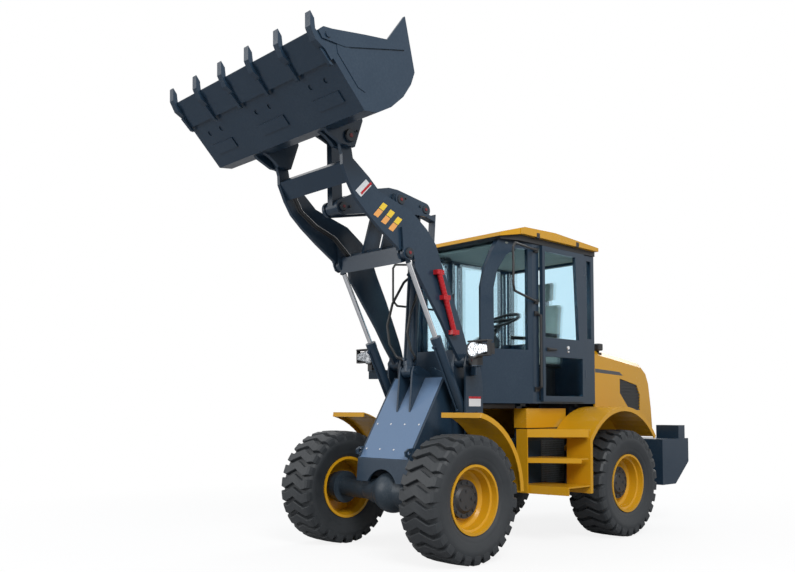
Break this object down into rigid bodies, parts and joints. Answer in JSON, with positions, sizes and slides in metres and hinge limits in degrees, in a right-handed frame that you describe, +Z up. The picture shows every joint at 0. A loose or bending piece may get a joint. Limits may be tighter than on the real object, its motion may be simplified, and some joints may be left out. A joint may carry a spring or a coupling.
{
  "type": "wheel loader",
  "caption": "Articulated wheel loader with a raised linkage bucket, twin lift arms, a glazed cab, a hinged rear hood, steps and lugged tyres.",
  "frame": {"origin": "centre of the footprint on the floor", "axes": "+Z up, -Y towards the bucket, +X towards the machine's left side"},
  "size_m": [2.02, 5.513, 4.2547],
  "materials": {
    "black_iron": "satin",
    "black_plastic": "matte",
    "chrome": "polished",
    "fabric": "woven",
    "glass": "tinted",
    "lamp_glass": "gloss",
    "red_paint": "gloss",
    "slate_paint": "gloss",
    "tyre": "matte",
    "yellow_paint": "gloss"
  },
  "bodies": {
    "rear_frame": {"rear_frame": "slate_paint", "transmission": "black_iron", "engine": "black_iron", "counterweight": "slate_paint", "tail_boxes": "slate_paint", "rear_fenders": "yellow_paint", "side_boxes": "black_iron", "steps": "yellow_paint", "rear_axle": "slate_paint", "cab": "slate_paint", "cab_glass": "glass", "roof": "yellow_paint", "roof_liner": "black_plastic", "seat": "fabric", "steering_column": "black_plastic", "cab_fittings": "black_plastic"},
    "hood": {"hood": "yellow_paint", "hood_grilles": "black_plastic"},
    "door_left": {"door_left": "slate_paint", "door_glass": "glass"},
    "front_frame": {"front_frame": "slate_paint", "front_axle": "slate_paint", "front_fenders": "yellow_paint", "lamp_brackets": "slate_paint", "headlamps": "lamp_glass"},
    "boom": {"boom": "slate_paint", "lift_lock": "red_paint", "boom_hoses": "tyre"},
    "bucket": {"bucket": "slate_paint", "bucket_teeth": "slate_paint"},
    "rocker": {"rocker": "slate_paint"},
    "link": {"link": "slate_paint"},
    "wheel_front_left": {"tyre_front_left": "tyre", "rim_front_left": "yellow_paint", "hub_front_left": "black_iron"},
    "wheel_front_right": {"tyre_front_right": "tyre", "rim_front_right": "yellow_paint", "hub_front_right": "black_iron"},
    "wheel_rear_left": {"tyre_rear_left": "tyre", "rim_rear_left": "yellow_paint", "hub_rear_left": "black_iron"},
    "wheel_rear_right": {"tyre_rear_right": "tyre", "rim_rear_right": "yellow_paint", "hub_rear_right": "black_iron"},
    "lift_left_barrel": {"lift_left_barrel": "slate_paint"},
    "lift_left_rod": {"lift_left_rod": "chrome"},
    "lift_right_barrel": {"lift_right_barrel": "slate_paint"},
    "lift_right_rod": {"lift_right_rod": "chrome"},
    "tilt_barrel": {"tilt_barrel": "slate_paint", "tilt_hoses": "tyre"},
    "tilt_rod": {"tilt_rod": "chrome"},
    "steer_left_barrel": {"steer_left_barrel": "slate_paint"},
    "steer_left_rod": {"steer_left_rod": "chrome"},
    "steer_right_barrel": {"steer_right_barrel": "slate_paint"},
    "steer_right_rod": {"steer_right_rod": "chrome"}
  },
  "joints": [
    {"name": "boom_lift", "type": "hinge", "parent": "front_frame", "child": "boom", "pos_m": [0, -0.587, 1.7], "axis": [-1, 0, 0], "range_deg": [-92.5, 3]},
    {"name": "bucket_tilt", "type": "hinge", "parent": "boom", "child": "bucket", "pos_m": [0, -1.992, 3.42], "axis": [1, 0, 0], "range_deg": [-85, 84]},
    {"name": "steer", "type": "hinge", "parent": "rear_frame", "child": "front_frame", "pos_m": [0, 0.093, 0.76], "axis": [0, 0, 1], "range_deg": [-35, 35]},
    {"name": "door_left_hinge", "type": "hinge", "parent": "rear_frame", "child": "door_left", "pos_m": [0.582, 1.08, 2.1], "axis": [0, 0, 1], "range_deg": [0, 95]},
    {"name": "hood_hinge", "type": "hinge", "parent": "rear_frame", "child": "hood", "pos_m": [0, 2.428, 1], "axis": [-1, 0, 0], "range_deg": [0, 55]},
    {"name": "wheel_front_left_spin", "type": "hinge", "parent": "front_frame", "child": "wheel_front_left", "pos_m": [0.799, -1.052, 0.53], "axis": [1, 0, 0], "continuous": true},
    {"name": "wheel_front_right_spin", "type": "hinge", "parent": "front_frame", "child": "wheel_front_right", "pos_m": [-0.799, -1.052, 0.53], "axis": [1, 0, 0], "continuous": true},
    {"name": "wheel_rear_left_spin", "type": "hinge", "parent": "rear_frame", "child": "wheel_rear_left", "pos_m": [0.799, 1.239, 0.53], "axis": [1, 0, 0], "continuous": true},
    {"name": "wheel_rear_right_spin", "type": "hinge", "parent": "rear_frame", "child": "wheel_rear_right", "pos_m": [-0.799, 1.239, 0.53], "axis": [1, 0, 0], "continuous": true},
    {"name": "rocker_pivot", "type": "hinge", "parent": "boom", "child": "rocker", "pos_m": [0, -1.102, 3.13], "axis": [-1, 0, 0], "range_deg": [-39.25, 38.8]},
    {"name": "link_pivot", "type": "hinge", "parent": "rocker", "child": "link", "pos_m": [0, -1.732, 2.97], "axis": [-1, 0, 0], "range_deg": [-56.44, 57.1]},
    {"name": "lift_left_foot", "type": "hinge", "parent": "front_frame", "child": "lift_left_barrel", "pos_m": [0.4275, -0.582, 1.18], "axis": [-1, 0, 0], "range_deg": [-79.4, 3.54]},
    {"name": "lift_left_slide", "type": "slide", "parent": "lift_left_barrel", "child": "lift_left_rod", "axis": [0, -0.4633, 0.8862], "range_m": [-0.6982, 0.0275]},
    {"name": "lift_right_foot", "type": "hinge", "parent": "front_frame", "child": "lift_right_barrel", "pos_m": [-0.4275, -0.582, 1.18], "axis": [-1, 0, 0], "range_deg": [-79.4, 3.54]},
    {"name": "lift_right_slide", "type": "slide", "parent": "lift_right_barrel", "child": "lift_right_rod", "axis": [0, -0.4633, 0.8862], "range_m": [-0.6982, 0.0275]},
    {"name": "tilt_foot", "type": "hinge", "parent": "front_frame", "child": "tilt_barrel", "pos_m": [0, -0.852, 1.605], "axis": [-1, 0, 0], "range_deg": [-101.32, 4.25]},
    {"name": "tilt_slide", "type": "slide", "parent": "tilt_barrel", "child": "tilt_rod", "axis": [0, 0.0725, 0.9974], "range_m": [-0.3707, 0.0169]},
    {"name": "steer_left_foot", "type": "hinge", "parent": "rear_frame", "child": "steer_left_barrel", "pos_m": [0.25, 0.508, 0.76], "axis": [0, 0, 1], "range_deg": [-14, 14]},
    {"name": "steer_left_slide", "type": "slide", "parent": "steer_left_barrel", "child": "steer_left_rod", "axis": [0, -1, 0], "range_m": [-0.1516, 0.1516]},
    {"name": "steer_right_foot", "type": "hinge", "parent": "rear_frame", "child": "steer_right_barrel", "pos_m": [-0.25, 0.508, 0.76], "axis": [0, 0, 1], "range_deg": [-14, 14]},
    {"name": "steer_right_slide", "type": "slide", "parent": "steer_right_barrel", "child": "steer_right_rod", "axis": [0, -1, 0], "range_m": [-0.1516, 0.1516]}
  ],
  "couplings": [
    {"joint": "rocker_pivot", "follows": "bucket_tilt", "ratio": 0.45},
    {"joint": "link_pivot", "follows": "bucket_tilt", "ratio": -0.66},
    {"joint": "lift_left_foot", "follows": "boom_lift", "ratio": 0.8476},
    {"joint": "lift_left_slide", "follows": "boom_lift", "m_per_rad": 0.4294},
    {"joint": "lift_right_foot", "follows": "boom_lift", "ratio": 0.8476},
    {"joint": "lift_right_slide", "follows": "boom_lift", "m_per_rad": 0.4294},
    {"joint": "tilt_foot", "follows": "boom_lift", "ratio": 1.0845},
    {"joint": "tilt_slide", "follows": "boom_lift", "m_per_rad": 0.2265},
    {"joint": "steer_left_foot", "follows": "steer", "ratio": 0.376},
    {"joint": "steer_left_slide", "follows": "steer", "m_per_rad": -0.24},
    {"joint": "steer_right_foot", "follows": "steer", "ratio": 0.376},
    {"joint": "steer_right_slide", "follows": "steer", "m_per_rad": 0.24}
  ]
}
